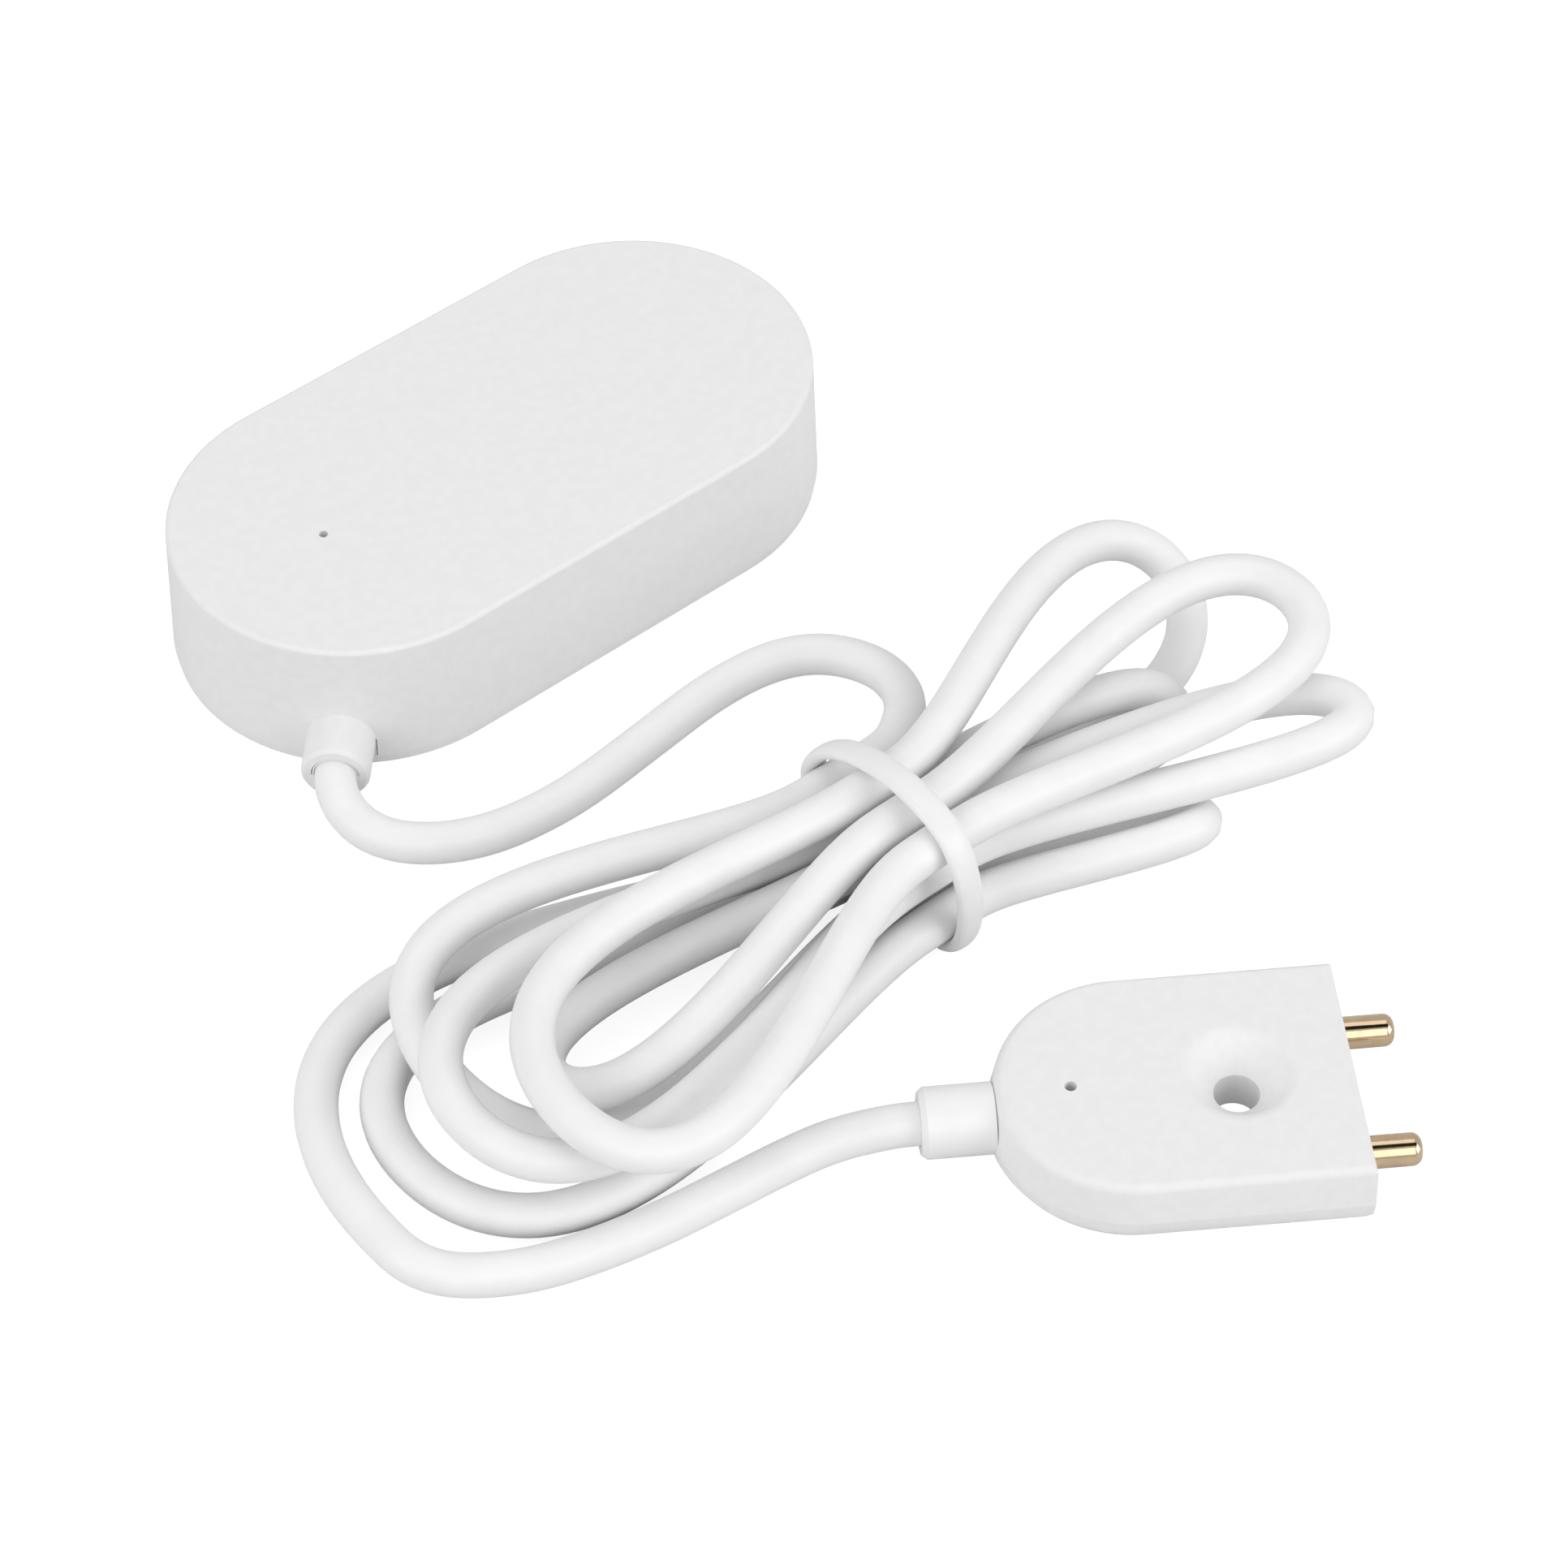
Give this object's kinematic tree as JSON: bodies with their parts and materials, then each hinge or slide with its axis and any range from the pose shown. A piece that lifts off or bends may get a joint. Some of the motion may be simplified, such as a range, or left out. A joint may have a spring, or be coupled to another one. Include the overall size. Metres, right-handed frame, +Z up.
{
  "type": "water leak sensor",
  "caption": "White long rounded sensor housing with a cell-powered board inside, joined by a tied hank of cord to a flat floor probe with metal contact pins and a screw hole",
  "frame": {"origin": "centre of the housing's underside, on the surface it rests on", "axes": "+Z up, +X along the housing away from the end where the cord leaves, +Y to the side away from the probe"},
  "size_m": [0.1105, 0.1342, 0.0161],
  "materials": {
    "shell_white": "fine matte moulded texture",
    "cord_white": "satin PVC sheath",
    "tie_white": "smooth satin plastic",
    "seal_rubber": "matte soft rubber",
    "cell_wrap": "plain printed sleeve with no lettering",
    "contact_metal": "plated spring steel",
    "pin_gold": "polished gold-coloured plating",
    "board_green": "solder mask",
    "led_clear": "clear lens",
    "switch_black": "moulded",
    "plunger_white": "moulded",
    "core_red": "core insulation"
  },
  "bodies": {
    "base": {"base_plate": "shell_white", "cover_seal": "seal_rubber", "battery_left": "cell_wrap", "battery_right": "cell_wrap", "contact_spring": "contact_metal", "contact_plate": "contact_metal", "contact_bridge": "contact_metal", "main_board": "board_green", "board_screws": "contact_metal", "radio_module": "contact_metal", "antenna": "pin_gold", "status_led": "led_clear", "reset_switch": "switch_black", "lead_socket": "plunger_white", "lead_plug": "plunger_white", "lead_conductors": "core_red", "cord_clamp": "shell_white", "cord_lead": "cord_white", "cord_hank": "cord_white", "cord_tail": "cord_white", "hank_tie": "tie_white", "probe_bottom_shell": "shell_white", "probe_top_shell": "shell_white", "probe_collar": "cord_white", "pin_left": "pin_gold", "pin_right": "pin_gold", "probe_board": "board_green", "pin_links": "contact_metal", "probe_conductors": "core_red"},
    "cover": {"top_cover": "shell_white"},
    "plunger": {"reset_plunger": "plunger_white"}
  },
  "joints": [
    {"name": "cover_lift", "type": "slide", "parent": "base", "child": "cover", "axis": [0, 0, 1], "range_m": [0, 0.03]},
    {"name": "reset_press", "type": "slide", "parent": "base", "child": "plunger", "axis": [0, 0, -1], "range_m": [0, 0.00025], "stiffness_N_per_m": 400}
  ]
}
